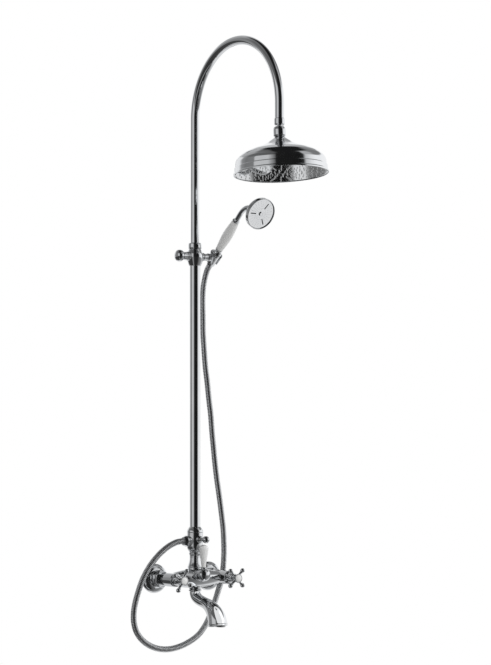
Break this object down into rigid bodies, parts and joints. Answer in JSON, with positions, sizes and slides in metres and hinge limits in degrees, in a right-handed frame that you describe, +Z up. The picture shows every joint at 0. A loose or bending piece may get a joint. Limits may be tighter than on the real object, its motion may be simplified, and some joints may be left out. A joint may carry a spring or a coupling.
{
  "type": "shower column",
  "caption": "Wall-mounted bath and shower mixer with cross handles, spout, telescopic gooseneck riser, round apron rose and a hose-fed handset in a cradle.",
  "frame": {"origin": "on the wall, midway between the two inlets, at their height", "axes": "+X to the right, +Y into the wall, +Z up"},
  "size_m": [0.285, 0.4942, 1.3714],
  "materials": {
    "chrome": "polished",
    "porcelain": "glazed",
    "hose_metal": "interlocked spiral",
    "jets": "matte",
    "rubber": "matte",
    "brass": "machined"
  },
  "bodies": {
    "mixer": {"wall_flange_left": "chrome", "wall_flange_right": "chrome", "inlet_union_left": "brass", "inlet_union_right": "brass", "union_nut_left": "chrome", "union_nut_right": "chrome", "union_washers": "rubber", "mixer_body": "chrome", "cartridge_hot": "brass", "cartridge_cold": "brass", "bonnet_hot": "chrome", "bonnet_cold": "chrome", "spout": "chrome", "spout_collar": "chrome", "aerator": "chrome", "diverter_cartridge": "brass", "diverter_bonnet": "chrome", "diverter_column": "chrome", "column_nut": "chrome", "column_seal": "rubber", "hose_outlet": "chrome", "knob_bush": "chrome", "lower_riser": "chrome", "riser_bracket": "chrome", "gland_nut": "chrome", "cradle_arm": "chrome", "hose_nut_outlet": "chrome", "shower_hose": "hose_metal"},
    "hot_handle": {"spindle_hot": "brass", "cross_handle_hot": "chrome", "index_hot": "porcelain"},
    "cold_handle": {"spindle_cold": "brass", "cross_handle_cold": "chrome", "index_cold": "porcelain"},
    "main_diverter": {"diverter_spindle": "brass", "lever_hub": "chrome", "lever_grip": "porcelain"},
    "pull_knob": {"knob_spindle": "brass", "ball_knob": "chrome"},
    "lock_screw": {"lock_knob": "chrome"},
    "arm_gland": {"gland_ring": "rubber"},
    "arm": {"shower_arm": "chrome", "arm_collar": "chrome", "swivel_ball": "chrome"},
    "rose_seat": {"ball_seat": "rubber"},
    "rose": {"swivel_nut": "chrome", "head_shell": "chrome", "nozzle_plate": "chrome", "nozzles": "jets", "head_gasket": "rubber"},
    "cradle": {"cradle": "chrome"},
    "handset": {"handset_ferrule": "chrome", "handset_grip": "porcelain", "handset_ring": "chrome", "handset_neck": "chrome", "handset_shell": "chrome", "handset_face": "chrome", "face_screw": "chrome", "hose_nut_handset": "chrome"}
  },
  "joints": [
    {"name": "hot_valve", "type": "hinge", "parent": "mixer", "child": "hot_handle", "pos_m": [-0.075, -0.1134, 0], "axis": [0, -1, 0], "range_deg": [0, 90]},
    {"name": "cold_valve", "type": "hinge", "parent": "mixer", "child": "cold_handle", "pos_m": [0.075, -0.1134, 0], "axis": [0, -1, 0], "range_deg": [-90, 0]},
    {"name": "bath_shower_diverter", "type": "hinge", "parent": "mixer", "child": "main_diverter", "pos_m": [0, -0.09, 0.009], "axis": [0, -1, 0], "range_deg": [-60, 60]},
    {"name": "rose_handset_diverter", "type": "slide", "parent": "mixer", "child": "pull_knob", "axis": [0, -1, 0], "range_m": [0, 0.009]},
    {"name": "riser_lock", "type": "hinge", "parent": "mixer", "child": "lock_screw", "pos_m": [-0.035, -0.056, 0.731], "axis": [-1, 0, 0], "range_deg": [0, 180]},
    {"name": "arm_swing", "type": "hinge", "parent": "mixer", "child": "arm_gland", "pos_m": [0, -0.056, 0.754], "axis": [0, 0, 1], "range_deg": [-60, 60]},
    {"name": "arm_height", "type": "slide", "parent": "arm_gland", "child": "arm", "axis": [0, 0, 1], "range_m": [-0.06, 0.15]},
    {"name": "rose_pitch", "type": "hinge", "parent": "arm", "child": "rose_seat", "pos_m": [0, -0.369, 0.979], "axis": [1, 0, 0], "range_deg": [-6, 14]},
    {"name": "rose_roll", "type": "hinge", "parent": "rose_seat", "child": "rose", "pos_m": [0, -0.369, 0.979], "axis": [0, 1, 0], "range_deg": [-10, 10]},
    {"name": "cradle_tilt", "type": "hinge", "parent": "mixer", "child": "cradle", "pos_m": [0.04, -0.056, 0.731], "axis": [1, 0, 0], "range_deg": [-20, 20], "deforming": ["shower_hose"]},
    {"name": "handset_lift", "type": "slide", "parent": "cradle", "child": "handset", "axis": [0, -0.7373, 0.6756], "range_m": [0, 0.04], "deforming": ["shower_hose"]}
  ]
}
